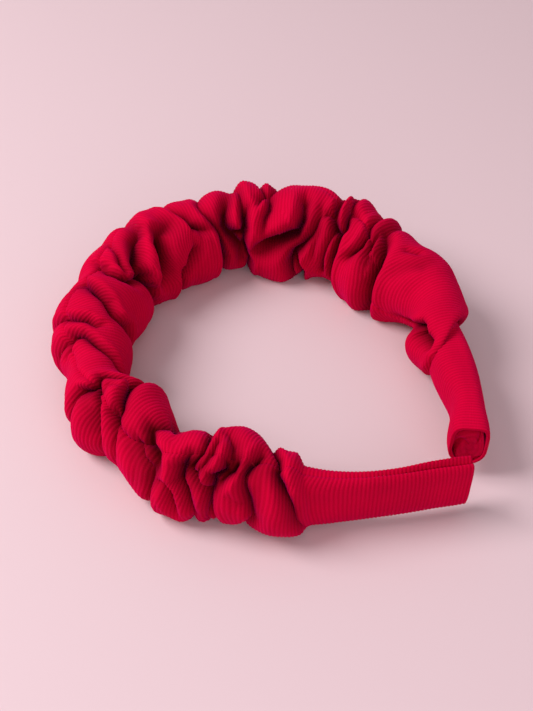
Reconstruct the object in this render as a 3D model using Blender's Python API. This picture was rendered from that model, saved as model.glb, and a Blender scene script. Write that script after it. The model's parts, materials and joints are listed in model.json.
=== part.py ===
"""Ruched corduroy hairband, lying on its long edge.

A sprung plastic hoop runs through a sewn cloth tube.  The tube is gathered into puffs round the crown
and the shoulders, and lies smooth on the last stretch of each leg, where its raw end is turned in over
a dab of glue.  The C of the hoop lies in the XY plane with its mouth towards -Y and the top of the
wearer's head towards +Y.  Metres, +Z up, origin at the middle of the footprint on the table.

The hoop bends along its whole length.  Here the bending is gathered into one hinge at each shoulder, so
hoop, tube and seam are each cut into a crown piece and two leg pieces.
"""

import math

import bpy
import numpy as np

MM = 0.001
GAP = 0.3 * MM  # clearance between neighbouring pieces

# Hoop centre line: arc length is 0 at the crown, negative down the left leg, positive down the right.
HALF_LENGTH = 194 * MM
BEND_STATIONS = (0, 40 * MM, 80 * MM, 115 * MM, 150 * MM, HALF_LENGTH)
LEFT_BEND = (17, 14, 17.5, 12.4, 10.4, 0)  # curvature per metre at the stations
RIGHT_BEND = (18, 18.8, 17.7, 11.3, 11.3, 0)
CROWN_LEAN = math.radians(5.5)  # the crown's tangent against the line across the mouth
TRACK_STEP = 0.5 * MM
CENTRE_HEIGHT = 13.5 * MM  # middle of the hoop strip above the table

HINGE_AT = 45 * MM  # arc length from the crown to each hinge
OPENING_ANGLE = math.radians(28)  # how far one leg springs outwards
NOTCH_SLOPE = math.tan(OPENING_ANGLE / 2 + math.radians(1))
NOTCH_REACH = 12 * MM  # the ruched tube is sheared over this length to make the notch

CORE_HEIGHT = 14 * MM
CORE_THICKNESS = 2 * MM
CORE_END = HALF_LENGTH - 6 * MM
TIP_ROUNDING = 6 * MM

LEFT_RUCHED_END = 143 * MM
RIGHT_RUCHED_END = 152 * MM
PUFF_HALF_WIDTH = 12.5 * MM  # across the band, from the centre line
PUFF_HALF_HEIGHT = 14.4 * MM
PUFF_SWELL = 1.7 * MM
LEFT_PUFF_PITCH = 15 * MM
RIGHT_PUFF_PITCH = 19 * MM
PUFF_SLANT = 0.7
PUFF_END_ROUNDING = 9 * MM  # the last puff closes in towards the leg over this length
PUFF_END_SHARE = 0.62
TUBE_HOLE_HALF_WIDTH = 1.4 * MM
TUBE_HOLE_TOP = 11.4 * MM  # above the centre height
TUBE_HOLE_BOTTOM = 7.4 * MM
WALL = 1.2 * MM  # least cloth left above the hole

# The seam's turned-in edges and their line of stitches stand on the hoop's upper edge.
SEAM_THICKNESS = 1.8 * MM
SEAM_BOTTOM = CORE_HEIGHT / 2 + GAP
SEAM_TOP = TUBE_HOLE_TOP - GAP

LEFT_LEG_SIZE = (5.0 * MM, 16.6 * MM)  # smooth end sleeves: across the band, and high
RIGHT_LEG_SIZE = (11.0 * MM, 16.4 * MM)
LEG_HOLE_SIZE = (2.8 * MM, 14.8 * MM)
GLUE_LENGTH = 2.4 * MM
TUCK_LENGTH = 2.6 * MM

RING_STEP = 4 * MM
TUBE_SIDES = 20
CORE_SIDES = 8

CRIMSON = (0.33, 0.002, 0.018)
DEEP_CRIMSON = (0.22, 0.002, 0.014)
WHITE_PLASTIC = (0.82, 0.81, 0.78)
CLEAR_GLUE = (0.78, 0.72, 0.58)
THREAD_RED = (0.42, 0.005, 0.03)


def clear_scene():
    for obj in list(bpy.data.objects):
        bpy.data.objects.remove(obj)


def half_track(bends, turn, start_heading):
    """Points and headings of one half of the hoop, walked away from the crown."""
    s = np.arange(0, HALF_LENGTH + TRACK_STEP / 2, TRACK_STEP)
    curvature = np.interp(s, BEND_STATIONS, bends)
    turned = np.concatenate([[0], np.cumsum((curvature[1:] + curvature[:-1]) / 2 * TRACK_STEP)])
    heading = start_heading + turn * turned
    middle = (heading[1:] + heading[:-1]) / 2
    x = np.concatenate([[0], np.cumsum(np.cos(middle) * TRACK_STEP)])
    y = np.concatenate([[0], np.cumsum(np.sin(middle) * TRACK_STEP)])
    return s, x, y, heading


def hoop_track():
    """The whole centre line from the left tip to the right tip: arc length, point and outward normal."""
    left_s, left_x, left_y, left_h = half_track(LEFT_BEND, 1, math.pi + CROWN_LEAN)
    right_s, right_x, right_y, right_h = half_track(RIGHT_BEND, -1, CROWN_LEAN)
    s = np.concatenate([-left_s[::-1], right_s[1:]])
    x = np.concatenate([left_x[::-1], right_x[1:]])
    y = np.concatenate([left_y[::-1], right_y[1:]])
    heading = np.concatenate([left_h[::-1] - math.pi, right_h[1:]])
    return {"s": s, "x": x, "y": y, "heading": heading}


TRACK = hoop_track()


def on_track(s, outward, height):
    """World points at arc length s, moved outwards from the C and up from the table."""
    x = np.interp(s, TRACK["s"], TRACK["x"])
    y = np.interp(s, TRACK["s"], TRACK["y"])
    heading = np.interp(s, TRACK["s"], TRACK["heading"])
    return np.stack([x - np.sin(heading) * outward, y + np.cos(heading) * outward, height + 0 * x], axis=-1)


def stations(start, end):
    return np.linspace(start, end, max(2, round((end - start) / RING_STEP) + 1))


def hinge_shear(s, outward, start, end):
    """Arc length moved at a hinged end, so that two neighbours open a V on the outer side."""
    notch = GAP + np.maximum(outward, 0) * NOTCH_SLOPE
    moved = s + 0 * outward
    for hinge in (-HINGE_AT, HINGE_AT):
        if start >= hinge:
            fade = np.clip(1 - (s - hinge) / NOTCH_REACH, 0, 1)
            moved = moved + fade * notch * (start == hinge)
        if end <= hinge:
            fade = np.clip(1 - (hinge - s) / NOTCH_REACH, 0, 1)
            moved = moved - fade * notch * (end == hinge)
    return moved


def box_section(sides, half_width, low, high, squareness=0.3):
    """A rounded rectangle as offsets: outwards across the band, and up from the centre height."""
    angle = np.arange(sides) / sides * 2 * math.pi + math.pi / sides
    across = np.sign(np.sin(angle)) * np.abs(np.sin(angle)) ** squareness
    up = np.sign(np.cos(angle)) * np.abs(np.cos(angle)) ** squareness
    return half_width * across, (high + low) / 2 + (high - low) / 2 * up


def rings(s, outward, up, start, end):
    """Grid of points (station, side) on the centre line, never below the table."""
    s = np.broadcast_to(np.asarray(s)[:, None], outward.shape)
    height = np.maximum(CENTRE_HEIGHT + up, 0)
    return on_track(hinge_shear(s, outward, start, end), outward, height)


def grid_faces(count, sides, first=0, flip=False):
    faces = []
    for i in range(count - 1):
        for j in range(sides):
            a = first + i * sides + j
            b = first + i * sides + (j + 1) % sides
            quad = (a, a + sides, b + sides, b)
            faces.append(quad[::-1] if flip else quad)
    return faces


def bar(points):
    """A closed bar from a grid of rings, with a flat cap on each end."""
    count, sides = points.shape[:2]
    faces = grid_faces(count, sides)
    faces.append(tuple(range(sides)))
    faces.append(tuple(range((count - 1) * sides, count * sides))[::-1])
    return points.reshape(-1, 3), faces


def tube(outer, inner):
    """A closed tube wall from two grids of rings, joined at both open ends."""
    count, sides = outer.shape[:2]
    first = count * sides
    faces = grid_faces(count, sides) + grid_faces(count, sides, first, flip=True)
    last = (count - 1) * sides
    for j in range(sides):
        k = (j + 1) % sides
        faces.append((j, k, first + k, first + j))
        faces.append((last + k, last + j, first + last + j, first + last + k))
    return np.concatenate([outer.reshape(-1, 3), inner.reshape(-1, 3)]), faces


def core_piece(start, end):
    """The plastic strip, with its free end rounded in the plane of its height."""
    s = stations(start, end)
    tips = [t for t in (start, end) if abs(abs(t) - CORE_END) < TRACK_STEP]
    if tips:
        rounding = np.array([0, 0.6, 2, 4]) * MM
        near = tips[0] - np.sign(tips[0]) * rounding
        s = np.sort(np.concatenate([s[np.abs(s - tips[0]) > TIP_ROUNDING], near]))
        left = np.clip(1 - np.abs(s - tips[0]) / TIP_ROUNDING, 0, 1)
        height_share = 0.45 + 0.55 * np.sqrt(1 - left**2)
    else:
        height_share = np.ones_like(s)
    across, up = box_section(CORE_SIDES, CORE_THICKNESS / 2, -CORE_HEIGHT / 2, CORE_HEIGHT / 2)
    outward = np.broadcast_to(across, (len(s), CORE_SIDES))
    return bar(rings(s, outward, height_share[:, None] * up, start, end))


def seam_piece(start, end):
    s = stations(start, end)
    across, up = box_section(CORE_SIDES, SEAM_THICKNESS / 2, SEAM_BOTTOM, SEAM_TOP)
    shape = (len(s), CORE_SIDES)
    return bar(rings(s, np.broadcast_to(across, shape), np.broadcast_to(up, shape), start, end))


def ruched_piece(start, end):
    """The gathered tube: an oval swelling into slanted puffs, flat where it rests on the table."""
    s = stations(start, end)
    if max(-start, end) > HINGE_AT:
        tip = start if -start > end else end
        s = np.sort(np.append(s, tip - math.copysign(PUFF_END_ROUNDING / 8, tip)))
    angle = np.arange(TUBE_SIDES) / TUBE_SIDES * 2 * math.pi + math.pi / TUBE_SIDES
    pitch = np.where(s < 0, LEFT_PUFF_PITCH, RIGHT_PUFF_PITCH)[:, None]
    phase = math.pi * s[:, None] / pitch + PUFF_SLANT * np.sin(angle)[None, :]
    swell = PUFF_SWELL * (2 * np.abs(np.sin(phase)) - 1)
    leg_end = max(abs(start), abs(end))
    closing = np.clip(1 - (leg_end - np.abs(s)) / PUFF_END_ROUNDING, 0, 1) * (leg_end > HINGE_AT)
    share = (PUFF_END_SHARE + (1 - PUFF_END_SHARE) * np.sqrt(1 - closing**2))[:, None]
    outward = (PUFF_HALF_WIDTH + swell) * share * np.sin(angle)
    up = np.maximum((PUFF_HALF_HEIGHT + swell) * share, TUBE_HOLE_TOP + WALL) * np.cos(angle)
    across, hole_up = box_section(TUBE_SIDES, TUBE_HOLE_HALF_WIDTH, -TUBE_HOLE_BOTTOM, TUBE_HOLE_TOP)
    shape = outward.shape
    hole = rings(s, np.broadcast_to(across, shape), np.broadcast_to(hole_up, shape), start, end)
    return tube(rings(s, outward, up, start, end), hole)


def leg_piece(start, end, size):
    """A smooth end sleeve."""
    s = stations(start, end)
    shape = (len(s), TUBE_SIDES)
    skins = []
    for width, height, squareness in ((*size, 0.6), (*LEG_HOLE_SIZE, 0.3)):
        across, up = box_section(TUBE_SIDES, width / 2, -height / 2, height / 2, squareness)
        skins.append(rings(s, np.broadcast_to(across, shape), np.broadcast_to(up, shape), start, end))
    return tube(*skins)


def plug_piece(start, end):
    """What fills the mouth of an end sleeve: glue, or the turned-in edge of the cloth."""
    s = stations(start, end)
    width, height = (side / 2 - GAP for side in LEG_HOLE_SIZE)
    across, up = box_section(CORE_SIDES, width, -height, height)
    shape = (len(s), CORE_SIDES)
    return bar(rings(s, np.broadcast_to(across, shape), np.broadcast_to(up, shape), start, end))


def side_pieces(side, ruched_end, leg_size):
    """The solids of one leg, named for its side, as (shape, finish)."""
    if side == "left":
        span = lambda near, far: (-far, -near)
    else:
        span = lambda near, far: (near, far)
    glue = CORE_END + GAP
    tuck = glue + GLUE_LENGTH + GAP
    return {
        f"core_{side}": (core_piece(*span(HINGE_AT, CORE_END)), "hoop plastic"),
        f"seam_{side}": (seam_piece(*span(HINGE_AT, ruched_end)), "seam thread"),
        f"ruched_sleeve_{side}": (ruched_piece(*span(HINGE_AT, ruched_end)), "crimson needlecord"),
        f"leg_sleeve_{side}": (
            leg_piece(*span(ruched_end + GAP, HALF_LENGTH), leg_size),
            "crimson needlecord",
        ),
        f"tip_glue_{side}": (plug_piece(*span(glue, glue + GLUE_LENGTH)), "glue"),
        f"tip_tuck_{side}": (plug_piece(*span(tuck, tuck + TUCK_LENGTH)), "turned-in needlecord"),
    }


def make_material(name, colour, roughness):
    material = bpy.data.materials.new(name)
    material.use_nodes = True
    shader = material.node_tree.nodes["Principled BSDF"]
    shader.inputs["Base Color"].default_value = (*colour, 1)
    shader.inputs["Roughness"].default_value = roughness
    shader.inputs["Metallic"].default_value = 0
    return material


def add_object(name, shape, material, shift, parent=None):
    """One solid; its mesh is measured from its parent's origin when it has one."""
    points, faces = shape
    home = np.array(parent.location) if parent else np.zeros(3)
    mesh = bpy.data.meshes.new(name)
    mesh.from_pydata((points + shift - home).tolist(), [], faces)
    mesh.materials.append(material)
    mesh.shade_smooth()
    mesh.set_sharp_from_angle(angle=math.radians(40))
    obj = bpy.data.objects.new(name, mesh)
    bpy.context.collection.objects.link(obj)
    obj.parent = parent


def add_hinge(name, s, shift):
    empty = bpy.data.objects.new(name, None)
    empty.empty_display_size = 10 * MM
    empty.location = on_track(s, 0, 0) + shift
    bpy.context.collection.objects.link(empty)
    return empty


def main():
    clear_scene()
    finishes = {
        "crimson needlecord": make_material("crimson needlecord", CRIMSON, 0.9),
        "turned-in needlecord": make_material("turned-in needlecord", DEEP_CRIMSON, 0.95),
        "seam thread": make_material("seam thread", THREAD_RED, 0.7),
        "hoop plastic": make_material("hoop plastic", WHITE_PLASTIC, 0.4),
        "glue": make_material("glue", CLEAR_GLUE, 0.25),
    }
    crown = {
        "core_crown": (core_piece(-HINGE_AT, HINGE_AT), "hoop plastic"),
        "seam_crown": (seam_piece(-HINGE_AT, HINGE_AT), "seam thread"),
        "ruched_sleeve_crown": (ruched_piece(-HINGE_AT, HINGE_AT), "crimson needlecord"),
    }
    left = side_pieces("left", LEFT_RUCHED_END, LEFT_LEG_SIZE)
    right = side_pieces("right", RIGHT_RUCHED_END, RIGHT_LEG_SIZE)

    everything = np.concatenate([shape[0] for shape, _ in (crown | left | right).values()])
    shift = -(everything.min(axis=0) + everything.max(axis=0)) / 2
    shift[2] = 0

    groups = (
        (crown, None),
        (left, add_hinge("left_hinge", -HINGE_AT, shift)),
        (right, add_hinge("right_hinge", HINGE_AT, shift)),
    )
    for pieces, hinge in groups:
        for name, (shape, finish) in pieces.items():
            add_object(name, shape, finishes[finish], shift, hinge)


main()
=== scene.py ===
import bmesh
import bpy
import json
import math
import numpy as np
from mathutils import Matrix, Vector


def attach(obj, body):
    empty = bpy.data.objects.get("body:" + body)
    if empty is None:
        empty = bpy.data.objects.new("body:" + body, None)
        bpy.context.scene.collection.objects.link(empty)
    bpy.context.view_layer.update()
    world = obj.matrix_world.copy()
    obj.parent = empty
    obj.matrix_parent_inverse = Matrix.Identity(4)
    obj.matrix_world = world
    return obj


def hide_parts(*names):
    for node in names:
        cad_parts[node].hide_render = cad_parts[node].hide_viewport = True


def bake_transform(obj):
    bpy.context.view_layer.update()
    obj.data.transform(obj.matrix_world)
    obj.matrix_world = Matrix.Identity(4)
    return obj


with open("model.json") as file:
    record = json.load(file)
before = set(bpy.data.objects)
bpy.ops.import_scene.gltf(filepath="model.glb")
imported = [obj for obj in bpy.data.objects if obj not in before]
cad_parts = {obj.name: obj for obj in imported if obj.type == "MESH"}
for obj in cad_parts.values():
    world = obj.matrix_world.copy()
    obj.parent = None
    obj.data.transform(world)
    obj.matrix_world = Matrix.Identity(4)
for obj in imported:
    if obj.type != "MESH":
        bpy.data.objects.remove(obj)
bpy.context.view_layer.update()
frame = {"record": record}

# Ruched needlecord hairband. Lengths are millimetres until a mesh is written; places along the band
# are measured from the crown, minus down the left leg and plus down the right one. Round the tube the
# angle is 0 on top, 90 on the outside of the C, 180 underneath and -90 on the inside.

hoop = {
    "stations": (0, 40, 80, 115, 150, 194),
    "leftBend": (17, 14, 17.5, 12.4, 10.4, 0),     # radians of turn per metre at the stations
    "rightBend": (18, 18.8, 17.7, 11.3, 11.3, 0),
    "lean": 5.5,             # degrees, crown against the line across the mouth
    "runOn": 16,             # straight length worked out past each tip
    "hingeAt": 45,
    "midHeight": 13.5,
    "stripHeight": 14,
    "stripThick": 2,
    "stripEnd": 188,
    "stripLow": 0.35,        # cut down and set low by this much, so that the cloth covers it at the seam
    "stripEndRound": 6,      # the free end is rounded over this length
    "stripSquareness": 0.35,
    "stripCuts": 110,
    "stripSides": 28,
}


def halfLine(bends, turn, heading):
    # curvature is interpolated between the stations and summed twice: once to a heading, once to a path
    step = 0.5
    s = np.arange(0, hoop["stations"][-1] + hoop["runOn"], step)
    curve = np.interp(s, hoop["stations"], bends) / 1000
    curve[s > hoop["stations"][-1]] = 0
    head = heading + turn * np.concatenate([[0], np.cumsum((curve[1:] + curve[:-1]) / 2 * step)])
    mid = (head[1:] + head[:-1]) / 2
    x = np.concatenate([[0], np.cumsum(np.cos(mid) * step)])
    y = np.concatenate([[0], np.cumsum(np.sin(mid) * step)])
    return s, x, y, head


def hoopLine():
    lean = math.radians(hoop["lean"])
    ls, lx, ly, lh = halfLine(hoop["leftBend"], 1, math.pi + lean)
    rs, rx, ry, rh = halfLine(hoop["rightBend"], -1, lean)
    line = {
        "s": np.concatenate([-ls[::-1], rs[1:]]),
        "x": np.concatenate([lx[::-1], rx[1:]]),
        "y": np.concatenate([ly[::-1], ry[1:]]),
        "head": np.concatenate([lh[::-1] - math.pi, rh[1:]]),
    }
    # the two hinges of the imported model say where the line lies
    hinges = {j["name"]: j["pos_m"] for j in frame["record"]["behaviour"]["joints"]}
    for key, i in (("x", 0), ("y", 1)):
        here = np.interp([-hoop["hingeAt"], hoop["hingeAt"]], line["s"], line[key])
        there = np.array([hinges["left_spring"][i], hinges["right_spring"][i]]) * 1000
        line[key] = line[key] + (there - here).mean()
    return line


line = hoopLine()


def place(s, out, up):
    # centre line at s, moved along its outward normal by out and to the strip's middle height plus up
    x = np.interp(s, line["s"], line["x"])
    y = np.interp(s, line["s"], line["y"])
    head = np.interp(s, line["s"], line["head"])
    return np.stack([x - np.sin(head) * out, y + np.cos(head) * out, hoop["midHeight"] + up + 0 * x], -1)


tube = {
    "ribPitch": 1.2,         # one cord of the cloth
    "ribHeight": 0.22,
    "ribCuts": 4,            # mesh columns in each cord
    "rows": 92,              # mesh rows round the tube
    "puffWidth": 12.5,       # half widths of a middling puff
    "puffHeight": 14.4,
    "snugWidth": 3.0,        # half widths where a fold pulls the cloth onto the hoop
    "snugHeight": 8.6,
    "leftStep": 1.7,         # half lengths over which the gathers give way to the smooth legs
    "rightStep": 1.6,
    "nearPress": (0.6, 2.6),     # how much shallower folds are at each flank, and how sharply that starts
    "farPress": (0.25, 4),
    "arcRadius": 13.0,       # turns an angle round the tube into a length
    "tableEase": 0.8,        # how softly the cloth flattens where it lies on the table
    "tipAt": 193.3,
    "tipRoll": 0.55,         # radius of the turned-in edge at each end
    "tipInside": 7.0,        # cloth turned in at each end
    "measureStep": 0.35,     # spacing, and turns round the tube, at which the cloth's length is measured
    "measureTurns": 72,
    "cordEase": 2.2,         # the cords ease round the tube, and stay level over long stretches
    "cordLevel": 40,
}

# Where the gathering stops, at six angles round the tube: -120, -60, 0, 60, 120, 180.
leftEdge = (-144, -142.5, -141.5, -143, -144.8, -145)
rightEdge = (153, 155.5, 147.5, 140, 140.5, 148)

# The folds as they run over the tube: places (along, angle, depth), half width, and how far a lip leans
# over the fold (plus: the lip on the right-leg side).
folds = [
    (((-147, 15, .25), (-147, 45, .3), (-148, 65, .2)), 2, -0.3),
    (((-137, 20, .8), (-138, 30, 1), (-139, 40, 1), (-139.5, 50, 1), (-140.5, 65, 1), (-141.5, 80, 1),
     (-142.5, 100, 1)), 1.8, -0.6),
    (((-136, -10, 1), (-136.5, 10, .7), (-137, 25, .9), (-138, 40, 1), (-139.5, 50, .9)), 1.4, -0.3),
    (((-132, 5, .1), (-131.5, 20, .17), (-131.5, 40, .24), (-131.5, 55, .28), (-132, 70, .21),
     (-132.5, 85, .1)), 2.8, -0.3),
    (((-130.5, -5, .6), (-129, 10, .9), (-128.5, 15, 1), (-128, 25, .9), (-127.5, 40, .7), (-127.5, 50, .65),
     (-128, 60, .7), (-129, 75, .85), (-130.5, 100, .9)), 1.6, 0.35),
    (((-125, 72, .2), (-126.5, 80, .3)), 1.8, 0.3),
    (((-124.5, 10, .3), (-124.5, 20, .8), (-124, 35, .9), (-122.5, 45, .7), (-121.5, 55, .6),
     (-120, 55, .3)), 1.3, -0.5),
    (((-120, -20, .4), (-122, -5, .6), (-122.5, 10, .6), (-123, 25, .3)), 2, 0.2),
    (((-121, 25, .7), (-121, 35, 1), (-119.5, 45, 1), (-118.5, 50, 1), (-119, 60, 1), (-119, 75, 1),
     (-119, 90, .8)), 1.6, 0.5),
    (((-117.5, -5, .4), (-117, 15, .5), (-116, 35, .5), (-114.5, 50, .5)), 1, 0.2),
    (((-114.5, -10, .8), (-114.5, 10, .6), (-114, 25, .7), (-113, 40, .8), (-112.5, 50, .8),
     (-113.5, 55, .8), (-115.5, 65, .7), (-118, 75, .8), (-118.5, 85, .7)), 1.2, -0.4),
    (((-111, 25, .5), (-110.5, 40, .8), (-110, 50, 1), (-110.5, 70, 1), (-112, 80, 1), (-113, 90, .9),
     (-114.5, 110, .8)), 1.8, 0.5),
    (((-104, 90, .3), (-107, 80, .5), (-108.5, 90, .8), (-109.5, 105, .8), (-110, 115, .5)), 1.1, 0.3),
    (((-103, -15, .9), (-100.5, -15, .8), (-98.5, 0, .7), (-97, 10, .8), (-97.5, 20, .9),
     (-99.5, 40, 1), (-102, 50, 1), (-103, 65, .8), (-103, 80, .7), (-102.5, 95, .6)), 2.9, -0.4),
    (((-93.5, 40, .3), (-95.5, 50, .6), (-98, 65, .7), (-101.5, 80, .7), (-102.5, 95, .9)), 1.6, -0.3),
    (((-91, 50, .2), (-94.5, 65, .35), (-97.5, 85, .35), (-98, 105, .3)), 2.4, 0),
    (((-83.5, 30, .5), (-86, 45, .6), (-88, 65, .6), (-89, 90, .5), (-88.5, 120, .4)), 0.9, 0),
    (((-87, 45, .4), (-86, 35, .6), (-85, 20, .8), (-83, 5, .9), (-80.5, -15, 1), (-78, -35, 1)), 1.8, 0.4),
    (((-75, 30, 1), (-79, 40, .9), (-81, 55, .9), (-82.5, 75, .9), (-83.5, 105, .9)), 1.5, -0.4),
    (((-74, 50, .2), (-79, 60, .4), (-81, 80, .4)), 2.4, 0),
    (((-76.5, 30, .24), (-77.5, 20, .24), (-76.5, 10, .21), (-79.5, 0, .17)), 1, -0.2),
    (((-69.5, 55, 1), (-72, 40, .9), (-72, 25, .9), (-70.5, 10, .9), (-71, 0, .9), (-73.5, -15, 1),
     (-76, -35, 1), (-77.5, -60, 1)), 1.8, 0.3),
    (((-49, 55, .8), (-48.5, 40, .9), (-50.5, 15, .8), (-55.5, -10, .9), (-60, -40, 1), (-64, -55, 1),
     (-67, -75, .9)), 1.6, 0.4),
    (((-52.5, 70, .5), (-51.5, 45, .7), (-50, 30, .6)), 1.1, -0.3),
    (((-40.5, 50, .8), (-43.5, 25, .8), (-45, 5, .8), (-47.5, -10, .6), (-47.5, -20, .3)), 1.3, 0.4),
    (((-25.5, 35, .9), (-32, -5, 1), (-35, -25, 1), (-39.5, -40, 1), (-40, -60, 1), (-37, -80, 1)), 2, 0.4),
    (((-17, 25, .4), (-18.5, 10, .6), (-20.5, -10, .8), (-20.5, -30, .9), (-18.5, -50, .9),
     (-15, -55, .4)), 1.6, 0.4),
    (((-15.5, 35, .5), (-16.5, 20, .5), (-17, 10, .5), (-17.5, 0, .4)), 0.8, 0.2),
    (((-5, 40, .4), (-8, 20, .5), (-12, -5, .5), (-15.5, -20, .5), (-16.5, -30, .4)), 1.2, -0.3),
    (((-7, -55, .5), (-6.5, -65, .9), (-8, -75, .9), (-4, -95, .9)), 1.2, 0.4),
    (((3.5, 10, .8), (1, 0, .9), (-1.5, -5, .9), (-5.5, -25, 1), (-9.5, -40, 1), (-11, -55, 1),
     (-9, -75, 1), (-7.5, -90, 1)), 3, 0.4),
    (((11.5, 0, .2), (13, -20, .5), (7.5, -25, .7), (5, -40, .9), (3.5, -60, 1), (2, -75, .9),
     (1, -85, .5)), 3.2, -0.3),
    (((22.5, -70, .2), (20, -70, .5), (16, -80, .8), (13.5, -90, 1), (11, -95, 1)), 1.7, -0.4),
    (((19, 0, .8), (20, -10, .8), (21, -20, .9), (22, -35, .9), (25, -45, .7), (29, -50, .3)), 1.5, -0.5),
    (((30.5, 30, .7), (28.5, 0, .6), (29, -15, .5), (30.5, -30, .6), (33, -50, .6), (34, -60, .6),
     (34.5, -75, .7), (35.5, -100, .9), (35.5, -110, .9)), 1.7, -0.5),
    (((41.5, 20, .7), (40, 0, .8), (38, -25, .9), (37.5, -45, .9), (39, -60, .9), (41.5, -75, .8),
     (43.5, -90, .7), (44.5, -115, .5)), 2.8, 0.3),
    (((45.5, 10, .7), (45.5, -10, .6), (45.5, -25, .7), (46, -45, .9), (45.5, -60, .9),
     (42, -60, .7)), 1.5, 0.3),
    (((47.5, -25, .5), (47, -40, .7), (47, -55, .8), (46, -80, .9), (47.5, -100, .9),
     (49, -110, .9)), 1.5, 0.5),
    (((53.5, 0, .8), (52, -10, .6), (51.5, -20, .3)), 1.1, 0.2),
    (((55.5, 5, .8), (55.5, -10, .8), (55.5, -25, .7), (54, -40, .5), (53.5, -55, .3)), 1.7, -0.3),
    (((49, -90, .3), (54.5, -80, .7), (61, -70, .9), (67.5, -55, 1), (69, -35, .9), (69, -20, .7),
     (68.5, -10, .8)), 2.8, -0.5),
    (((72.5, -135, .8), (73.5, -115, .9), (71.5, -100, .8), (69, -95, .5)), 1.3, 0.3),
    (((69, -130, .8), (67, -100, .7), (68, -90, .8), (72, -75, .7), (75, -55, .6), (76, -40, .6),
     (76.5, -20, .5), (76, -10, .4)), 2, 0.3),
    (((79.5, -35, .2), (78.5, -50, .35), (77.5, -70, .35), (77.5, -85, .2)), 1.8, 0),
    (((79, -20, .3), (79, -15, .5), (81.5, -10, .6), (80.5, 5, .9)), 1.2, -0.3),
    (((81.5, 0, .8), (83, -20, .6), (84, -30, .5), (84, -45, .5), (83, -65, .4), (82, -85, .4),
     (81.5, -110, .6)), 1.4, 0.2),
    (((82.5, -15, .5), (85, -30, .9), (88, -40, 1), (88.5, -60, 1), (88, -80, 1), (88, -110, 1)), 2.2, 0.5),
    (((87, -5, .8), (88, -15, 1), (89, -25, .8), (88, -35, .5)), 1.2, -0.3),
    (((88, 0, .5), (89.5, 0, .4)), 1, 0),
    (((95.5, 0, .8), (98, -20, .6), (98.5, -40, .7), (97.5, -50, .6), (96, -60, .4)), 1.4, -0.3),
    (((101, -10, .4), (101.5, -20, .5), (102, -30, .6), (102.5, -45, .5), (105, -55, .4)), 1.3, 0.3),
    (((102.5, 5, .9), (105.5, -10, .8), (108, -30, .8), (110, -50, .9), (110.5, -65, 1), (111, -85, 1),
     (111, -95, 1)), 3, 0.4),
    (((117, 10, .5), (114.5, 0, .3)), 1.3, -0.3),
    (((122.5, 20, .25), (122.5, 0, .32), (120.5, -15, .25), (118.5, -35, .15)), 3, 0.2),
    (((123, -115, .3), (128, -110, .7), (141.5, -65, .9), (143.5, -65, 1), (143.5, -70, 1)), 1.6, -0.3),
    (((144.5, -68, .8), (147.5, -70, 1), (150.5, -68, .9)), 1.9, 0.3),
    (((138.5, 80, .9), (143, 45, 1), (147.5, 10, 1), (151.5, -10, 1), (155, -35, 1), (157, -60, 1),
     (157.5, -80, .9), (156.5, -105, .7)), 2, -0.8),
]

# The side of the tube that the drawn folds are on; the deep ones carry on round the other side.
drawnSide = ((-194, 55), (-120, 45), (-85, 15), (-60, -10), (0, -45), (60, -50), (120, -40), (194, -30))

# Where the seam of the tube runs, as places and angles, and how plainly it shows there.
seamLine = (
    (-206, 2, 1), (-176, 2, 1), (-168, 2, .5), (-148, 3, .3), (-138, 4, .2), (-122, 10, .2),
    (-104, 34, .3), (-92, 58, 1), (-84, 34, 1), (-76, 16, 1), (-62, 42, .3), (-48, 50, .7),
    (-27, 27, 1), (-17, 15, 1), (0, 35, .2), (30, 48, .1), (60, 40, .1), (80, 12, .4),
    (90, 4, .6), (101, -24, 1), (106, -45, .8), (116, -105, .2), (130, -150, .1), (206, -160, .1),
)

# Swell of the puffs against a middling one, on the two flanks of the tube. The first flank turns from
# low outside near the left leg to high outside on the right; the second is opposite it.
flankTurn = (
    (-194, 159), (-136, 131), (-80, 117), (-52, 90), (-20, 60),
    (10, 42), (60, 32), (118, 45), (150, 60), (194, 72),
)
firstFlank = (
    (-140, 1.04), (-136, 1.04), (-124, .89), (-116, 1.2), (-108, 1.26), (-102, 1.31), (-92, .93),
    (-84, .81), (-74, 1.33), (-66, 1.04), (-56, .66), (-46, 1.11), (-30, 1.17), (-20, .85),
    (-14, 1.11), (-6, 1.04), (4, 1.23), (18, 1.17), (28, 1.05), (38, 1.18), (48, 1.38), (58, 1.23),
    (70, 1.43), (78, 1.35), (86, 1.59), (93, 1.1), (101, 1.56), (107, 1.09), (112, 1.1),
    (118, 1.29), (126, 1.17), (134, .96), (141, .79), (147, .64), (152, .6),
)
secondFlank = (
    (-140, .85), (-132, .96), (-124, 1.27), (-118, 1.18), (-110, .85), (-104, .62), (-98, .72),
    (-90, 1.06), (-80, 1.32), (-74, .95), (-66, .6), (-54, .97), (-44, 1.03), (-34, 1.03),
    (-24, 1.24), (-14, 1.29), (-6, 1.18), (0, 1.03), (8, 1.34), (18, 1.17), (28, 1.25), (36, 1.06),
    (44, .99), (54, 1.29), (62, 1.44), (70, 1.41), (78, .91), (86, .94), (94, 1.22), (102, 1.4),
    (110, 1.35), (118, .95), (126, .61), (132, .47), (138, 1.06), (144, 1.12), (152, .84),
)

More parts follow.
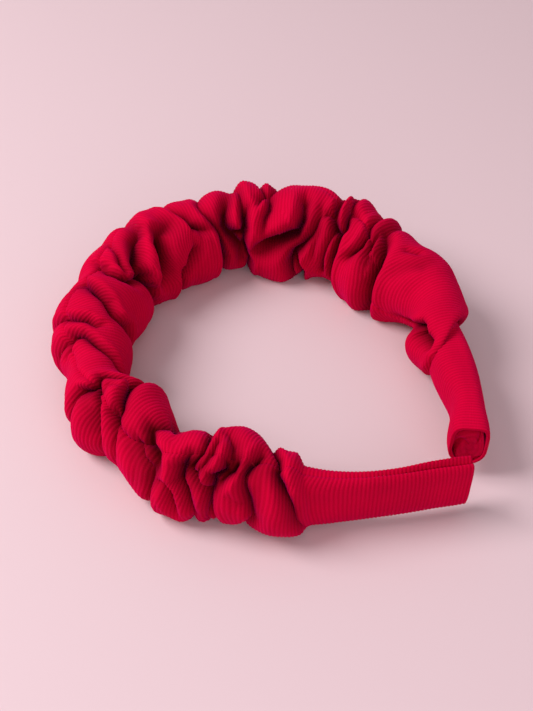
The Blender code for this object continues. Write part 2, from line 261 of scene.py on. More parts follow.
# Half widths of the smooth legs: place, outside, inside, up, down. Then how far the inside edge of the
# left leg's seam stands above the outside one.
leftLeg = (
    (-194, 2.7, 2.5, 8.2, 9.9), (-180, 3.1, 2.8, 8.4, 10.3), (-165, 3.2, 2.9, 7.7, 10.9),
    (-156, 3.7, 3.4, 7.7, 11.6), (-149, 4.4, 4.2, 8.1, 12.6), (-142, 5.0, 5.0, 9.4, 13.4),
)
rightLeg = (
    (138, 4.2, 8.2, 7.9, 9.5), (150, 4.4, 8.4, 8.0, 9.3), (160, 4.7, 8.6, 8.3, 9),
    (168, 5.0, 7.1, 8.5, 8.6), (176, 5.1, 4.4, 8.5, 8.4), (183, 5.4, 5.4, 8.4, 8.4),
    (189, 5.7, 6.9, 8.5, 8.3), (194, 5.6, 6.2, 8.3, 8.1),
)
backRise = (
    (-194, 1), (-190, 2.4), (-182, 2.9), (-176, 1.9), (-171, .5),
    (-167, .9), (-161, .2), (-157, .7), (-150, 0),
)


def smooth(pairs, s, spread=2.5):
    # straight lines between the given points, then rounded off over the spread
    step, reach, end = 0.5, 20, 212
    fine = np.arange(-end, end, step)
    table = np.array(pairs, float)
    kernel = np.exp(-0.5 * (np.arange(-reach, reach + 1) * step / spread) ** 2)
    result = []
    for column in table[:, 1:].T:
        raw = np.interp(fine, table[:, 0], column)
        raw = np.convolve(np.pad(raw, reach, mode="edge"), kernel / kernel.sum(), mode="valid")
        result.append(np.interp(s, fine, raw))
    return result


def roundValues(values, angle):
    # trigonometric interpolation: the smoothest periodic curve through six values 60 degrees apart
    nodes = np.radians([-120, -60, 0, 60, 120, 180])
    result = np.full_like(angle, np.mean(values))
    for k in (1, 2):
        a = 2 / 6 * np.sum(np.array(values) * np.cos(k * nodes))
        b = 2 / 6 * np.sum(np.array(values) * np.sin(k * nodes))
        result = result + a * np.cos(k * angle) + b * np.sin(k * angle)
    return result + np.mean(np.array(values) * np.cos(3 * nodes)) * np.cos(3 * angle)


def oval(angle, across, up, squareness):
    # superellipse: sine and cosine raised to a power below 1 make the section squarer
    sn, cs = np.sin(angle), np.cos(angle)
    return across * np.sign(sn) * np.abs(sn) ** squareness, up * np.sign(cs) * np.abs(cs) ** squareness


def ease(low, high, x):
    # 0 below low, 1 above high, and the cubic 3t^2 - 2t^3 between them
    t = np.clip((x - low) / (high - low), 0, 1)
    return t * t * (3 - 2 * t)


carried = {
    "leastDepth": 0.65,      # a fold has to be this deep, and this far off the middle, to carry on
    "leastTurn": 40,
    "sway": 3.5,
    "steps": ((1, 40, 0.9), (-0.4, 85, 0.75), (0.6, 125, 0)),      # share of the sway, turn, share of depth
}


def carryRound(points):
    # a deep fold that leaves the drawn side runs on round the tube, swaying a little and dying out
    points = list(points)
    for end in (0, -1):
        s, turn, depth = points[end]
        middle = smooth(drawnSide, s)[0]
        if depth < carried["leastDepth"] or abs(turn - middle) < carried["leastTurn"]:
            continue
        way = 1 if turn > middle else -1
        sway = carried["sway"] * math.sin(2.3 * s)
        more = [(s + part * sway, turn + by * way, keep * depth) for part, by, keep in carried["steps"]]
        points = points + more if end else more[::-1] + points
    return points


foldShape = {
    "depth": 0.95,
    "narrow": 2.2,           # folds narrower than this are sharp at the bottom, wider ones round
    "sharp": 1.3,
    "round": 1.9,
    "shoulder": 0.14,        # share of the depth that spreads wider, and how much wider
    "shoulderReach": 2.4,
    "slide": 1.5,            # how far a lip may lean over its fold, in fold widths
    "lip": 0.2,              # how far a lip stands up beside its fold, where, and how broadly
    "lipAt": 1.7,
    "lipSpread": 0.8,
    "reach": 9,              # a fold is felt over this many of its widths
}


def foldField(s, turn):
    # for each fold: distance d to its line, depth there, and the way off the line. Share left of the puff
    # is the product of 1 - depth * ((1 - c) exp(-(d/w)^k) + c exp(-(d/rw)^2)), with c the shoulder and r
    # its reach; a leaning lip slides back over the line by d/w * exp(1 - d/w) and stands a little proud.
    share = np.ones_like(s)
    slideAlong, slideRound = np.zeros_like(s), np.zeros_like(s)
    radius = tube["arcRadius"] * math.pi / 180
    for drawn, width, lean in folds:
        points = carryRound(drawn)
        reach = foldShape["reach"] * width
        low, high = min(p[0] for p in points) - reach, max(p[0] for p in points) + reach
        near = np.nonzero((s.max(axis=1) > low) & (s.min(axis=1) < high))[0]
        if len(near) == 0:
            continue
        here = slice(near[0], near[-1] + 1)
        a, v = s[here], turn[here]
        best = np.full(a.shape, 1e6)
        depth, offAlong, offRound = np.zeros_like(a), np.zeros_like(a), np.zeros_like(a)
        for (sa, va, da), (sb, vb, db) in zip(points, points[1:]):
            dx = a - sa
            dy = ((v - va + 180) % 360 - 180) * radius
            bx, by = sb - sa, (vb - va) * radius
            t = np.clip((dx * bx + dy * by) / (bx * bx + by * by), 0, 1)
            dx, dy = dx - t * bx, dy - t * by
            apart = np.hypot(dx, dy)
            closer = apart < best
            best = np.where(closer, apart, best)
            depth = np.where(closer, da + t * (db - da), depth)
            offAlong = np.where(closer, dx, offAlong)
            offRound = np.where(closer, dy, offRound)
        q = best / width
        power = foldShape["sharp"] if width < foldShape["narrow"] else foldShape["round"]
        shoulder = foldShape["shoulder"] * np.exp(-(q / foldShape["shoulderReach"]) ** 2)
        valley = (1 - foldShape["shoulder"]) * np.exp(-q ** power) + shoulder
        side = np.clip(np.sign(lean) * offAlong / np.maximum(best, 1e-6), 0, 1) ** 0.7
        push = abs(lean) * depth * width * foldShape["slide"] * q * np.exp(1 - q) * side
        push = push / np.maximum(best, 1e-6)
        fromLip = (q - foldShape["lipAt"]) / foldShape["lipSpread"]
        lip = foldShape["lip"] * depth * side * np.exp(-fromLip ** 2)
        share[here] *= 1 - foldShape["depth"] * depth * valley + lip
        slideAlong[here] -= push * offAlong
        slideRound[here] -= push * offRound / radius
    return share, slideAlong, slideRound


crumple = {"size": 0.15, "waves": 16, "shortest": 5, "longest": 13, "seed": 11}


def crumpleField(s, angle):
    # small soft dents: a seeded sum of waves that run mostly along the band
    dice = np.random.default_rng(crumple["seed"])
    total = np.zeros_like(s)
    for i in range(crumple["waves"]):
        wave = dice.uniform(crumple["shortest"], crumple["longest"])
        twist, start = dice.integers(-2, 3), dice.uniform(0, 6.3)
        total += np.sin(2 * math.pi * s / wave + twist * angle + start) * wave / crumple["longest"]
    return total / math.sqrt(crumple["waves"])


legCloth = {
    "squareness": 0.7,
    "mouth": (182, 192),     # stretch over which a leg turns squarer, and the right one is pinched
    "mouthSquarer": 0.22,
    "pinch": 0.5,
}


def legSection(s, angle, leg, inset):
    # an oval with its own half width on each side, less what is rolled in at the tip
    low, high = legCloth["mouth"]
    outer, inner, above, below = (half - inset for half in smooth(leg, s))
    squareness = legCloth["squareness"] - legCloth["mouthSquarer"] * ease(low, high, np.abs(s))
    across = np.where(np.sin(angle) > 0, outer, inner)
    out, up = oval(angle, across, np.where(np.cos(angle) > 0, above, below), squareness)
    # the mouth of the right leg is pinched towards the table
    pinch = legCloth["pinch"] * ease(low, high, s) * np.clip(-np.cos(angle), 0, 1) ** 1.5
    return out * (1 - pinch), up


seamCloth = {
    "dip": 1.6,              # how deep the two turned-in edges sink, and the half width of the slit
    "width": 1.3,
    "hidden": 0.25,          # share of the dip left where the seam is out of sight
    "legShallower": 0.3,
    "pucker": 0.2,           # small gathers beside the stitches
    "puckerPitch": 2.4,
    "puckerReach": 2.2,
    "riseReach": 2.5,        # how far from the seam the inside edge stands up
}


def tubePoint(q, angle, t=math.pi):
    # q runs along the band and on round each turned-in end; t is the turn from the seam, 0 to a full one.
    # The gathered section is the full oval pulled towards the snug one by the folds.
    over = np.maximum(np.abs(q) - tube["tipAt"], 0)
    roll = tube["tipRoll"]
    arc = np.minimum(over / roll, math.pi)
    inside = np.maximum(over - math.pi * roll, 0)
    s = np.sign(q) * (np.minimum(np.abs(q), tube["tipAt"]) + roll * np.sin(arc) - inside)
    inset = roll * (1 - np.cos(arc))
    left = 1 - ease(-tube["leftStep"], tube["leftStep"], s - roundValues(leftEdge, angle))
    right = ease(-tube["rightStep"], tube["rightStep"], s - roundValues(rightEdge, angle))
    ruched = (1 - left) * (1 - right)
    share, along, around = foldField(s, np.degrees(angle))
    flank = np.radians(smooth(flankTurn, s)[0])
    one, two = smooth(firstFlank, s)[0], smooth(secondFlank, s)[0]
    facing = np.cos(angle - flank)
    swell = (one + two) / 2 + (one - two) / 2 * facing
    # folds run out towards the two flanks, where neighbouring puffs press together
    (nearShare, nearRate), (farShare, farRate) = tube["nearPress"], tube["farPress"]
    press = nearShare * np.exp(-nearRate * (1 - facing)) + farShare * np.exp(-farRate * (1 + facing))
    share = share + (1 - share) * press
    shifted = angle + np.radians(around) * ruched
    dent = crumple["size"] * crumpleField(s, angle) * share
    out, up = oval(shifted, tube["puffWidth"] * swell + dent, tube["puffHeight"] * swell + dent, 1.0)
    snugOut, snugUp = oval(shifted, tube["snugWidth"], tube["snugHeight"], 0.8)
    out = snugOut + (out - snugOut) * share
    up = snugUp + (up - snugUp) * share
    for leg, here in ((leftLeg, left), (rightLeg, right)):
        legOut, legUp = legSection(s, angle, leg, inset)
        out = out * (1 - here) + legOut * here
        up = up * (1 - here) + legUp * here
    # the two cut edges dip in at the seam, with small gathers beside them
    shown = smooth(seamLine, s)[1]
    fromSeam = np.minimum(t, 2 * math.pi - t) * np.hypot(out, up) * 0.8
    plain = seamCloth["hidden"] + (1 - seamCloth["hidden"]) * shown
    slit = np.clip(1 - fromSeam / seamCloth["width"], 0, 1) ** 1.5
    dip = seamCloth["dip"] * slit * plain * (1 - seamCloth["legShallower"] * left)
    gathers = np.sin(2 * math.pi * s / seamCloth["puckerPitch"])
    dip += seamCloth["pucker"] * shown * ruched * gathers * np.exp(-fromSeam / seamCloth["puckerReach"])
    size = np.maximum(np.hypot(out, up), 1e-6)
    out, up = out * (1 - dip / size), up * (1 - dip / size)
    rise = smooth(backRise, s)[0] * np.exp(-fromSeam / seamCloth["riseReach"])
    rise = rise * (1 - np.exp(-(fromSeam / 0.5) ** 2))
    up = up + np.where(t > math.pi, rise, 0) * left * (inset < roll)
    height = hoop["midHeight"] + up
    height = 0.5 * (height + np.sqrt(height ** 2 + tube["tableEase"]))      # cloth lies flat on the table
    return place(s + along * ruched, out, height - hoop["midHeight"]), share * ruched + (1 - ruched)


def blurred(values, spread, wrap):
    # weighted mean down the columns, with weights exp(-(k / spread)^2 / 2)
    reach = int(3 * spread)
    weights = np.exp(-0.5 * (np.arange(-reach, reach + 1) / spread) ** 2)
    weights /= weights.sum()
    padded = np.pad(values, ((reach, reach), (0, 0)), mode="wrap" if wrap else "edge")
    return np.stack([np.convolve(column, weights, mode="valid") for column in padded.T], axis=1)


def clothGrid():
    # Whole tube as a grid: columns follow the cords, rows run round the tube from seam to seam. The cord
    # number is the length along the cloth, eased round the tube and kept level over long stretches.
    end = tube["tipAt"] + tube["tipInside"]
    q = np.arange(-end, end + 0.01, tube["measureStep"])
    turns = tube["measureTurns"]
    angle = np.arange(turns) / turns * 2 * math.pi
    points = tubePoint(*np.meshgrid(q, angle, indexing="ij"))[0]
    steps = np.linalg.norm(np.diff(points, axis=0), axis=2)
    steps = blurred(steps.T, tube["cordEase"], True).T
    along = np.concatenate([np.zeros((1, turns)), np.cumsum(steps, axis=0)])
    level = along.mean(axis=1, keepdims=True)
    table = level + (along - level) - blurred(along - level, tube["cordLevel"], False)
    t = np.linspace(0, 2 * math.pi, tube["rows"])
    seam = np.radians(smooth(seamLine, q, 4)[0])
    column = ((t[None, :] + seam[:, None]) / (2 * math.pi) % 1) * turns
    first = np.floor(column).astype(int) % turns
    part = column - np.floor(column)
    row = np.arange(len(q))[:, None]
    before, after = table[row, first], table[row, (first + 1) % turns]
    cords = np.maximum.accumulate(before * (1 - part) + after * part, axis=0)
    step = tube["ribPitch"] / tube["ribCuts"]
    low, high = cords[0].max(), cords[-1].min()
    count = int((high - low) / step)
    count -= count % tube["ribCuts"]
    wanted = low + np.arange(count + 1) * step
    qAt = np.stack([np.interp(wanted, cords[:, j], q) for j in range(len(t))], axis=1)
    angleAt = t + np.interp(qAt, q, seam)
    return qAt, angleAt, np.broadcast_to(t, qAt.shape), wanted - low


def meshObject(name, points, faces):
    # points in millimetres and faces that all have as many corners, made a smooth mesh in metres
    mesh = bpy.data.meshes.new(name)
    mesh.vertices.add(len(points))
    mesh.vertices.foreach_set("co", (points / 1000).astype(np.float32).ravel())
    mesh.loops.add(faces.size)
    mesh.loops.foreach_set("vertex_index", faces.astype(np.int32).ravel())
    mesh.polygons.add(len(faces))
    mesh.polygons.foreach_set("loop_start", np.arange(0, faces.size, faces.shape[1], dtype=np.int32))
    mesh.update(calc_edges=True)
    mesh.shade_smooth()
    obj = bpy.data.objects.new(name, mesh)
    bpy.context.scene.collection.objects.link(obj)
    return obj


def gridFaces(columns, rows, closed=False):
    # quads between neighbouring columns and rows; closed joins the last row to the first
    i, j = np.meshgrid(np.arange(columns - 1), np.arange(rows if closed else rows - 1), indexing="ij")
    a = (i * rows + j).ravel()
    b = (i * rows + (j + 1) % rows).ravel()
    return np.stack([a, b, b + rows, a + rows], axis=1)


def addUv(obj, u, v):
    # one u and one v for each vertex, handed to the corners of its faces
    mesh = obj.data
    corners = np.empty(len(mesh.loops), np.int32)
    mesh.loops.foreach_get("vertex_index", corners)
    layer = mesh.uv_layers.new(name="cords")
    layer.data.foreach_set("uv", np.stack([u[corners], v[corners]], axis=1).astype(np.float32).ravel())


def gridNormals(points):
    # cross product of the two grid directions, made one long
    du = np.gradient(points, axis=0)
    dv = np.gradient(points, axis=1)
    normal = np.cross(du, dv)
    return normal / np.maximum(np.linalg.norm(normal, axis=2, keepdims=True), 1e-9)


def makeSleeve():
    # the tube's surface moved out by its cords: |cos(pi * cord number)|, rounded on top, times their height
    qAt, angle, t, cord = clothGrid()
    base, share = tubePoint(qAt, angle, t)
    normal = gridNormals(base)
    middle = place(np.clip(qAt, -193, 193), 0.0, 0.0)
    body = np.abs(qAt) < 190
    if np.sum(np.sum(normal * (base - middle), axis=2)[body]) < 0:
        normal = -normal
    phase = cord[:, None] / tube["ribPitch"]
    ridge = np.abs(np.cos(math.pi * phase)) ** 0.8 - 0.6
    points = base + normal * (tube["ribHeight"] * ridge)[..., None]
    points[..., 2] = np.maximum(points[..., 2], 0.02)
    print("cloth grid", points.shape, "cloth length mm", round(float(cord[-1]), 1))
    split = int(np.argmin(np.abs(qAt[:, 0])))
    split -= split % tube["ribCuts"]
    halves = []
    for name, part in (("clothTubeLeft", slice(0, split + 1)), ("clothTubeRight", slice(split, None))):
        piece = points[part]
        obj = meshObject(name, piece.reshape(-1, 3), gridFaces(*piece.shape[:2])[:, ::-1])
        around = np.broadcast_to(t[part] / (2 * math.pi), piece.shape[:2]).ravel()
        cords = np.broadcast_to(cord[part, None] / cord[-1], piece.shape[:2]).ravel()
        addUv(obj, around, cords)
        # crest: how far the cloth stands from the bottom of a fold; the finish paints shade where it is low
        crest = obj.data.attributes.new("crest", "FLOAT", "POINT")
        crest.data.foreach_set("value", share[part].astype(np.float32).ravel())
        halves.append(obj)
    print("cut lengths", round(float(cord[split]), 1), round(float(cord[-1] - cord[split]), 1))
    return halves, float(cord[-1])


(clothLeft, clothRight), clothLength = makeSleeve()
print("cloth tube made")


def newMaterial(name):
    material = bpy.data.materials.new(name)
    material.use_nodes = True
    tree = material.node_tree
    return material, tree.nodes, tree.links, tree.nodes["Principled BSDF"]


cordCloth = {
    "ridge": (0.56, 0.0, 0.031),
    # groove: painted shade between the cords; deep: painted shade at the bottom of the folds
    "groove": (0.45, 0.0, 0.021),
    "deep": (0.07, 0.0, 0.001),
    "sheen": 0.3,
    "sheenTint": (1.0, 0.0, 0.28, 1),
    "pileScale": 2600,       # the nap's fine grain, and the broad patches where it lies another way
    "patchScale": 55,
    "shadeLiftSlope": 1.55,       # how quickly the painted shade at the bottom of a fold lifts towards its crest
    "shadeLiftStart": -0.5,
    "weaveTurns": 190,       # threads round the tube
    "turnedInCords": 9,
    # the turned-in cloth is painted darker by this share, as shade
    "turnedInShade": 0.9,
}


def makeNeedlecord(name, ribs, shade=1.0):
    # cords along v with a napped ridge and a darker groove, darkest at the bottom of the folds: painted
    # shade in the grooves and the folds; a shade below 1 paints the whole copy darker as shade
    material, nodes, links, shader = newMaterial(name)

    def mathNode(operation, a, b=None, c=None):
        node = nodes.new("ShaderNodeMath")
        node.operation = operation
        for i, value in enumerate((a, b, c)):
            if isinstance(value, (int, float)):
                node.inputs[i].default_value = value
            elif value is not None:
                links.new(value, node.inputs[i])
        return node.outputs[0]

    def blendColour(share, a, b):
        node = nodes.new("ShaderNodeMix")
        node.data_type = "RGBA"
        links.new(share, node.inputs["Factor"])
        for socket, value in ((node.inputs[6], a), (node.inputs[7], b)):
            if isinstance(value, tuple):
                socket.default_value = (*(shade * c for c in value), 1)
            else:
                links.new(value, socket)
        return node.outputs[2]

    def noise(scale, detail, source):
        node = nodes.new("ShaderNodeTexNoise")
        node.inputs["Scale"].default_value = scale
        node.inputs["Detail"].default_value = detail
        links.new(source, node.inputs["Vector"])
        return node.outputs["Fac"]

    uv = nodes.new("ShaderNodeUVMap")
    uv.uv_map = "cords"
    parts = nodes.new("ShaderNodeSeparateXYZ")
    links.new(uv.outputs["UV"], parts.inputs[0])
    where = nodes.new("ShaderNodeTexCoord").outputs["Object"]
    crest = nodes.new("ShaderNodeAttribute")
    crest.attribute_name = "crest"
    wave = mathNode("COSINE", mathNode("MULTIPLY", parts.outputs[1], 2 * math.pi * ribs))
    ridge = mathNode("MULTIPLY_ADD", wave, 0.5, 0.5)
    pile = noise(cordCloth["pileScale"], 2, where)
    patches = noise(cordCloth["patchScale"], 3, where)
    grain = mathNode("MULTIPLY", mathNode("SUBTRACT", pile, 0.5), 0.7)
    height = mathNode("ADD", mathNode("MULTIPLY", ridge, 0.85), grain)
    height = mathNode("MAXIMUM", mathNode("MINIMUM", height, 1), 0)
    # painted shade: the groove colour darkens the cloth between the cords
    colour = blendColour(mathNode("POWER", height, 0.8), cordCloth["groove"], cordCloth["ridge"])
    # painted shade: the colour sinks to the deep colour where the crest attribute is low, at the bottom of
    # the folds
    lift = mathNode("MULTIPLY_ADD", crest.outputs["Fac"], cordCloth["shadeLiftSlope"], cordCloth["shadeLiftStart"])
    lift = mathNode("MINIMUM", mathNode("MAXIMUM", lift, 0), 1)
    colour = blendColour(lift, cordCloth["deep"], colour)
    tone = nodes.new("ShaderNodeHueSaturation")
    links.new(mathNode("MULTIPLY_ADD", patches, 0.35, 0.82), tone.inputs["Value"])
    links.new(colour, tone.inputs["Color"])
    links.new(tone.outputs["Color"], shader.inputs["Base Color"])
    threads = 2 * math.pi * cordCloth["weaveTurns"]
    weave = mathNode("SINE", mathNode("MULTIPLY", parts.outputs[0], threads))
    relief = mathNode("ADD", mathNode("MULTIPLY", weave, 0.25), pile)
    bumpNode = nodes.new("ShaderNodeBump")
    bumpNode.inputs["Strength"].default_value = 0.5
    bumpNode.inputs["Distance"].default_value = 0.00012
    links.new(relief, bumpNode.inputs["Height"])
    links.new(bumpNode.outputs["Normal"], shader.inputs["Normal"])
    links.new(mathNode("MULTIPLY_ADD", pile, 0.12, 0.8), shader.inputs["Roughness"])
    shader.inputs["Specular IOR Level"].default_value = 0.03
    shader.inputs["Sheen Weight"].default_value = cordCloth["sheen"]
    shader.inputs["Sheen Roughness"].default_value = 0.45
    shader.inputs["Sheen Tint"].default_value = cordCloth["sheenTint"]
    return material


def closedBar(name, rings):
    # rings of points along a bar, its two ends drawn in to a point and merged
    ends = rings.mean(axis=1, keepdims=True)
    first, last = (np.broadcast_to(end, rings[:1].shape) for end in (ends[:1], ends[-1:]))
    full = np.concatenate([first, rings, last])
    obj = meshObject(name, full.reshape(-1, 3), gridFaces(*full.shape[:2], closed=True))
    columns, rows = full.shape[:2]
    u, v = np.meshgrid(np.linspace(0, 1, columns), np.arange(rows) / rows, indexing="ij")
    addUv(obj, v.ravel(), u.ravel())
    build = bmesh.new()
    build.from_mesh(obj.data)
    bmesh.ops.remove_doubles(build, verts=build.verts, dist=1e-7)
    bmesh.ops.dissolve_degenerate(build, edges=build.edges, dist=1e-8)
    bmesh.ops.recalc_face_normals(build, faces=build.faces)
    build.to_mesh(obj.data)
    build.free()
    obj.data.shade_smooth()
    return obj


def makeStrip(name, start, end):
    # the hoop: a rounded bar, its free end rounded in the plane of its height; it sits low in the cloth,
    # which bears down on it at the top
    s = np.linspace(start, end, hoop["stripCuts"])[:, None]
    toEnd = np.clip(1 - (hoop["stripEnd"] - np.abs(s)) / hoop["stripEndRound"], 0, 1)
    angle = (np.arange(hoop["stripSides"]) / hoop["stripSides"] * 2 * math.pi)[None, :]
    halfHeight = hoop["stripHeight"] / 2 - hoop["stripLow"]
    across, up = oval(angle, hoop["stripThick"] / 2, halfHeight, hoop["stripSquareness"])
    share = 0.4 + 0.6 * np.sqrt(1 - toEnd ** 2)
    return closedBar(name, place(s + 0 * angle, across + 0 * s, up * share - hoop["stripLow"]))


stitch = {
    "pitch": 2.6,
    "long": 2.1,
    "thick": 0.26,           # radius of the thread
    "sunk": 0.6,
    "cuts": 7,
    "sides": 6,
    "left": (-141, -2),      # where each half's row of stitches starts and ends
    "right": (2, 150),
}


def makeStitches(name, start, end):
    # short threads along the bottom of the seam: each is a rounded bar, radius * sqrt(1 - x^4), bent with it
    first = np.arange(start, end, stitch["pitch"])
    x = np.linspace(-1, 1, stitch["cuts"])
    q = first[:, None] + stitch["long"] / 2 * x[None, :]
    seam = np.radians(smooth(seamLine, q, 4)[0])
    middle = tubePoint(q, seam, 0 * q)[0]
    centre = place(q, 0.0, 0.0)
    outward = middle - centre
    outward /= np.linalg.norm(outward, axis=-1, keepdims=True)
    middle = middle - outward * stitch["sunk"]
    along = np.gradient(middle, axis=1)
    along /= np.linalg.norm(along, axis=-1, keepdims=True)
    side = np.cross(along, outward)
    side /= np.maximum(np.linalg.norm(side, axis=-1, keepdims=True), 1e-9)
    over = np.cross(side, along)
    turn = np.arange(stitch["sides"]) / stitch["sides"] * 2 * math.pi
    radius = stitch["thick"] * np.sqrt(np.maximum(1 - x ** 4, 0.02))[None, :, None, None]
    cosine, sine = (wave(turn)[None, None, :, None] for wave in (np.cos, np.sin))
    ring = cosine * side[:, :, None] + sine * over[:, :, None]
    points = middle[:, :, None] + radius * ring
    one = gridFaces(stitch["cuts"], stitch["sides"], closed=True)
    inOne = stitch["cuts"] * stitch["sides"]
    faces = (one[None] + inOne * np.arange(len(first))[:, None, None]).reshape(-1, 4)
    obj = meshObject(name, points.reshape(-1, 3), faces)
    u = np.broadcast_to(turn / (2 * math.pi), points.shape[:3]).ravel()
    v = np.broadcast_to(q[:, :, None] / 400 + 0.5, points.shape[:3]).ravel()
    addUv(obj, u, v)
    build = bmesh.new()
    build.from_mesh(obj.data)
    bmesh.ops.holes_fill(build, edges=[e for e in build.edges if e.is_boundary], sides=stitch["sides"])
    bmesh.ops.recalc_face_normals(build, faces=build.faces)
    build.to_mesh(obj.data)
    build.free()
    obj.data.shade_smooth()
    return obj


glueDab = {"at": 189.6, "long": 1.5, "high": 6.6, "wide": {-1: 1.5, 1: 2.6}}


def makeGlue(name, side):
    # a lumpy ellipsoid of set glue across the end of the strip
    u = np.linspace(0.04, math.pi - 0.04, 26)[:, None]
    v = (np.arange(36) / 36 * 2 * math.pi)[None, :]
    lump = 1 + 0.07 * np.sin(3 * v + 1) * np.sin(u) + 0.05 * np.sin(5 * v + 4 * u)
    s = side * (glueDab["at"] + glueDab["long"] * np.cos(u) * lump)
    out = glueDab["wide"][side] * np.sin(u) * np.sin(v) * lump
    up = glueDab["high"] * np.sin(u) * np.cos(v) * lump
    return closedBar(name, place(s, out, up))


tuck = {
    "at": 191.0,
    "deep": 1.6,
    "proud": 2.9,
    "folds": 1.5,
    "pleatDepth": 2.8,
    "clearance": 1.1,        # between the wad and the tube round it
    "stop": 193.5,           # nothing of it stands out past the mouth
    # a fixed crest: the tucked ends get only a trace of the painted fold shade
    "crest": 0.95,
}


def makeTuck(name, side):
    # cloth pushed into the mouth: a flattened ball whose outer face is pleated, folds = |sin(k v + twist)|
    u = np.linspace(0.02, math.pi - 0.02, 60)[:, None]
    v = (np.arange(120) / 120 * 2 * math.pi)[None, :]
    leg = rightLeg if side > 0 else leftLeg
    around = smooth(leg, np.array(side * tuck["at"]))
    outer, inner, above, below = (half - tuck["clearance"] for half in around)
    facing = np.maximum(np.cos(u), 0)
    rim = np.sin(u)
    pleat = np.abs(np.sin(tuck["folds"] * v + 0.7 + 2.2 * rim)) ** 0.8 - 0.62 + 0.3 * np.sin(v - 0.6)
    hollow = facing ** 0.5 * rim ** 0.5 * tuck["pleatDepth"]
    ball = np.where(np.cos(u) > 0, tuck["proud"] * facing ** 0.6, tuck["deep"] * np.cos(u))
    s = np.minimum(tuck["at"] + ball + hollow * pleat, tuck["stop"])
    reach = np.abs(rim) ** 0.75 * (1 + 0.05 * np.sin(4 * v))
    across = np.where(np.sin(v) > 0, outer, inner)
    out, up = oval(v, across, np.where(np.cos(v) > 0, above, below), 0.8)
    obj = closedBar(name, place(side * s, out * reach, up * reach))
    # painted shade: the same fixed crest all over, so the finish darkens the wad a little
    crest = obj.data.attributes.new("crest", "FLOAT", "POINT")
    crest.data.foreach_set("value", np.full(len(obj.data.vertices), tuck["crest"], np.float32))
    return obj


hoopLeft = makeStrip("hoopLeft", -hoop["stripEnd"], 0)
hoopRight = makeStrip("hoopRight", 0, hoop["stripEnd"])
stitchesLeft = makeStitches("seamStitchesLeft", *stitch["left"])
stitchesRight = makeStitches("seamStitchesRight", *stitch["right"])
glueLeft, glueRight = makeGlue("glueDabLeft", -1), makeGlue("glueDabRight", 1)
tuckLeft, tuckRight = makeTuck("tuckedEndLeft", -1), makeTuck("tuckedEndRight", 1)
print("hoop, stitches, glue and tucked ends made")


def makePlastic():
    # milky sheet plastic with faint drawing lines and a little clouding
    material, nodes, links, shader = newMaterial("hoopPlastic")
    where = nodes.new("ShaderNodeTexCoord").outputs["Object"]
    cloud = nodes.new("ShaderNodeTexNoise")
    cloud.inputs["Scale"].default_value = 120
    links.new(where, cloud.inputs["Vector"])
    ramp = nodes.new("ShaderNodeValToRGB")
    ramp.color_ramp.elements[0].color = (0.74, 0.73, 0.69, 1)
    ramp.color_ramp.elements[1].color = (0.86, 0.85, 0.82, 1)
    links.new(cloud.outputs["Fac"], ramp.inputs["Fac"])
    links.new(ramp.outputs["Color"], shader.inputs["Base Color"])
    lines = nodes.new("ShaderNodeTexWave")
    lines.bands_direction = "Z"
    lines.inputs["Scale"].default_value = 400
    lines.inputs["Distortion"].default_value = 1.5
    links.new(where, lines.inputs["Vector"])
    relief = nodes.new("ShaderNodeBump")
    relief.inputs["Strength"].default_value = 0.15
    relief.inputs["Distance"].default_value = 0.00005
    links.new(lines.outputs["Fac"], relief.inputs["Height"])
    links.new(relief.outputs["Normal"], shader.inputs["Normal"])
    shader.inputs["Roughness"].default_value = 0.38
    return material


def makeGlueFinish():
    # clear glue gone slightly amber, with fine bubbles
    material, nodes, links, shader = newMaterial("setGlue")
    where = nodes.new("ShaderNodeTexCoord").outputs["Object"]
    bubbles = nodes.new("ShaderNodeTexVoronoi")
    bubbles.inputs["Scale"].default_value = 1400
    links.new(where, bubbles.inputs["Vector"])
    ramp = nodes.new("ShaderNodeValToRGB")
    ramp.color_ramp.elements[0].color = (0.86, 0.80, 0.66, 1)
    ramp.color_ramp.elements[1].color = (0.70, 0.62, 0.46, 1)
    links.new(bubbles.outputs["Distance"], ramp.inputs["Fac"])
    links.new(ramp.outputs["Color"], shader.inputs["Base Color"])
    relief = nodes.new("ShaderNodeBump")
    relief.inputs["Strength"].default_value = 0.2
    relief.inputs["Distance"].default_value = 0.0001
    links.new(bubbles.outputs["Distance"], relief.inputs["Height"])
    links.new(relief.outputs["Normal"], shader.inputs["Normal"])
    shader.inputs["Roughness"].default_value = 0.22
    shader.inputs["Subsurface Weight"].default_value = 0.3
    shader.inputs["Subsurface Scale"].default_value = 0.002
    return material


def makeThread():
    # two-ply sewing thread: slanting plies on its own uv, with a soft lustre
    material, nodes, links, shader = newMaterial("seamThread")
    uv = nodes.new("ShaderNodeUVMap")
    uv.uv_map = "cords"
    stretch = nodes.new("ShaderNodeMapping")
    stretch.inputs["Scale"].default_value = (2, 320, 1)
    stretch.inputs["Rotation"].default_value = (0, 0, 0.6)
    links.new(uv.outputs["UV"], stretch.inputs["Vector"])
    plies = nodes.new("ShaderNodeTexWave")
    plies.inputs["Scale"].default_value = 1.0
    plies.inputs["Distortion"].default_value = 0.6
    links.new(stretch.outputs["Vector"], plies.inputs["Vector"])
    ramp = nodes.new("ShaderNodeValToRGB")
    ramp.color_ramp.elements[0].color = (0.20, 0.0, 0.008, 1)
    ramp.color_ramp.elements[1].color = (0.42, 0.001, 0.022, 1)
    links.new(plies.outputs["Fac"], ramp.inputs["Fac"])
    links.new(ramp.outputs["Color"], shader.inputs["Base Color"])
    relief = nodes.new("ShaderNodeBump")
    relief.inputs["Strength"].default_value = 0.4
    relief.inputs["Distance"].default_value = 0.00008
    links.new(plies.outputs["Fac"], relief.inputs["Height"])
    links.new(relief.outputs["Normal"], shader.inputs["Normal"])
    shader.inputs["Roughness"].default_value = 0.5
    return material


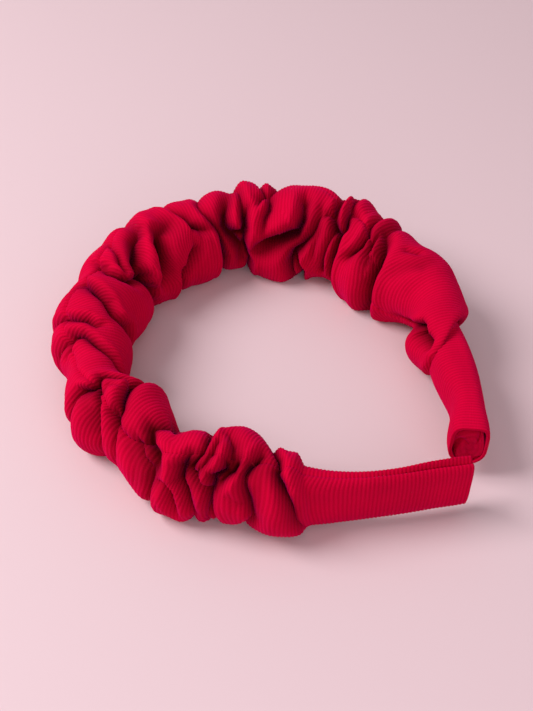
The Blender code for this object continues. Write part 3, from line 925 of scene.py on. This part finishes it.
needlecord = makeNeedlecord("needlecord", round(clothLength / tube["ribPitch"]))
# the turned-in ends get a darker copy of the cloth: painted shade
turnedIn = makeNeedlecord("needlecordTurnedIn", cordCloth["turnedInCords"], cordCloth["turnedInShade"])
hoopPlastic, setGlue, seamThread = makePlastic(), makeGlueFinish(), makeThread()
finishes = (
    (needlecord, "needlecord", (clothLeft, clothRight)),
    (turnedIn, "needlecord_turned_in", (tuckLeft, tuckRight)),
    (hoopPlastic, "hoop_plastic", (hoopLeft, hoopRight)),
    (setGlue, "hot_glue", (glueLeft, glueRight)),
    (seamThread, "seam_thread", (stitchesLeft, stitchesRight)),
)
for material, slot, pieces in finishes:
    for piece in pieces:
        piece.data.materials.append(material)
print("finishes put on")

for piece in (clothLeft, hoopLeft, stitchesLeft):
    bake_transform(piece)
for piece in (clothRight, hoopRight, stitchesRight):
    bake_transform(piece)
for piece in (glueLeft, tuckLeft):
    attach(piece, "left_leg")
for piece in (glueRight, tuckRight):
    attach(piece, "right_leg")
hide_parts("ruched_sleeve_crown", "ruched_sleeve_left", "leg_sleeve_left")
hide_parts("ruched_sleeve_right", "leg_sleeve_right")
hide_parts("core_crown", "core_left")
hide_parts("core_right")
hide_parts("seam_crown", "seam_left")
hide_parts("seam_right")
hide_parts("tip_glue_left")
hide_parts("tip_glue_right")
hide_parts("tip_tuck_left")
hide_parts("tip_tuck_right")

stone = {"half": 2, "colour": (0.67, 0.49, 0.525, 1), "roughness": 0.5}
corners = [(x * stone["half"], y * stone["half"], 0) for x, y in ((-1, -1), (1, -1), (1, 1), (-1, 1))]
floorMesh = bpy.data.meshes.new("table")
floorMesh.from_pydata(corners, [], [(0, 1, 2, 3)])
table = bpy.data.objects.new("table", floorMesh)
bpy.context.scene.collection.objects.link(table)
paleStone, *_, stoneShader = newMaterial("paleStone")
stoneShader.inputs["Base Color"].default_value = stone["colour"]
stoneShader.inputs["Roughness"].default_value = stone["roughness"]
floorMesh.materials.append(paleStone)


lighting = {
    "roomColour": (1, 0.96, 0.97, 1),
    "roomStrength": 0.46,
    "windowLight": {"spot": (-0.5, 0.6, 0.75), "size": 0.65, "power": 12, "colour": (1, 1, 1)},
    "fillLight": {"spot": (-0.55, -0.62, 0.5), "size": 0.8, "power": 2.8, "colour": (0.98, 0.94, 1.0)},
}


def softLight(name, spot, size, power, colour):
    # a round soft light that looks at the middle of the band
    data = bpy.data.lights.new(name, "AREA")
    data.shape = "DISK"
    data.size = size
    data.energy = power
    data.color = colour
    light = bpy.data.objects.new(name, data)
    light.location = spot
    light.rotation_euler = (-Vector(spot)).to_track_quat("-Z", "Y").to_euler()
    bpy.context.scene.collection.objects.link(light)


world = bpy.context.scene.world or bpy.data.worlds.new("studio")
bpy.context.scene.world = world
world.use_nodes = True
room = world.node_tree.nodes["Background"]
room.inputs["Color"].default_value = lighting["roomColour"]
room.inputs["Strength"].default_value = lighting["roomStrength"]
for name in ("windowLight", "fillLight"):
    softLight(name, **lighting[name])
bpy.context.scene.view_settings.view_transform = "Standard"

view = {
    "spot": (-0.2248, -0.1672, 0.2734),
    "aim": (0.0068, 0.01054, 0),
    "roll": 0.0501,
    "lens": 58.2,
    "sensor": 36,
}
cameraData = bpy.data.cameras.new("camera")
cameraData.sensor_width = view["sensor"]
cameraData.lens = view["lens"]
cameraData.clip_start = 0.01
camera = bpy.data.objects.new("camera", cameraData)
spot, aim = Vector(view["spot"]), Vector(view["aim"])
looking = (aim - spot).to_track_quat("-Z", "Y").to_matrix().to_4x4()
camera.matrix_world = Matrix.Translation(spot) @ looking @ Matrix.Rotation(view["roll"], 4, "Z")
bpy.context.scene.collection.objects.link(camera)
bpy.context.scene.camera = camera
print("table, lights and camera set")
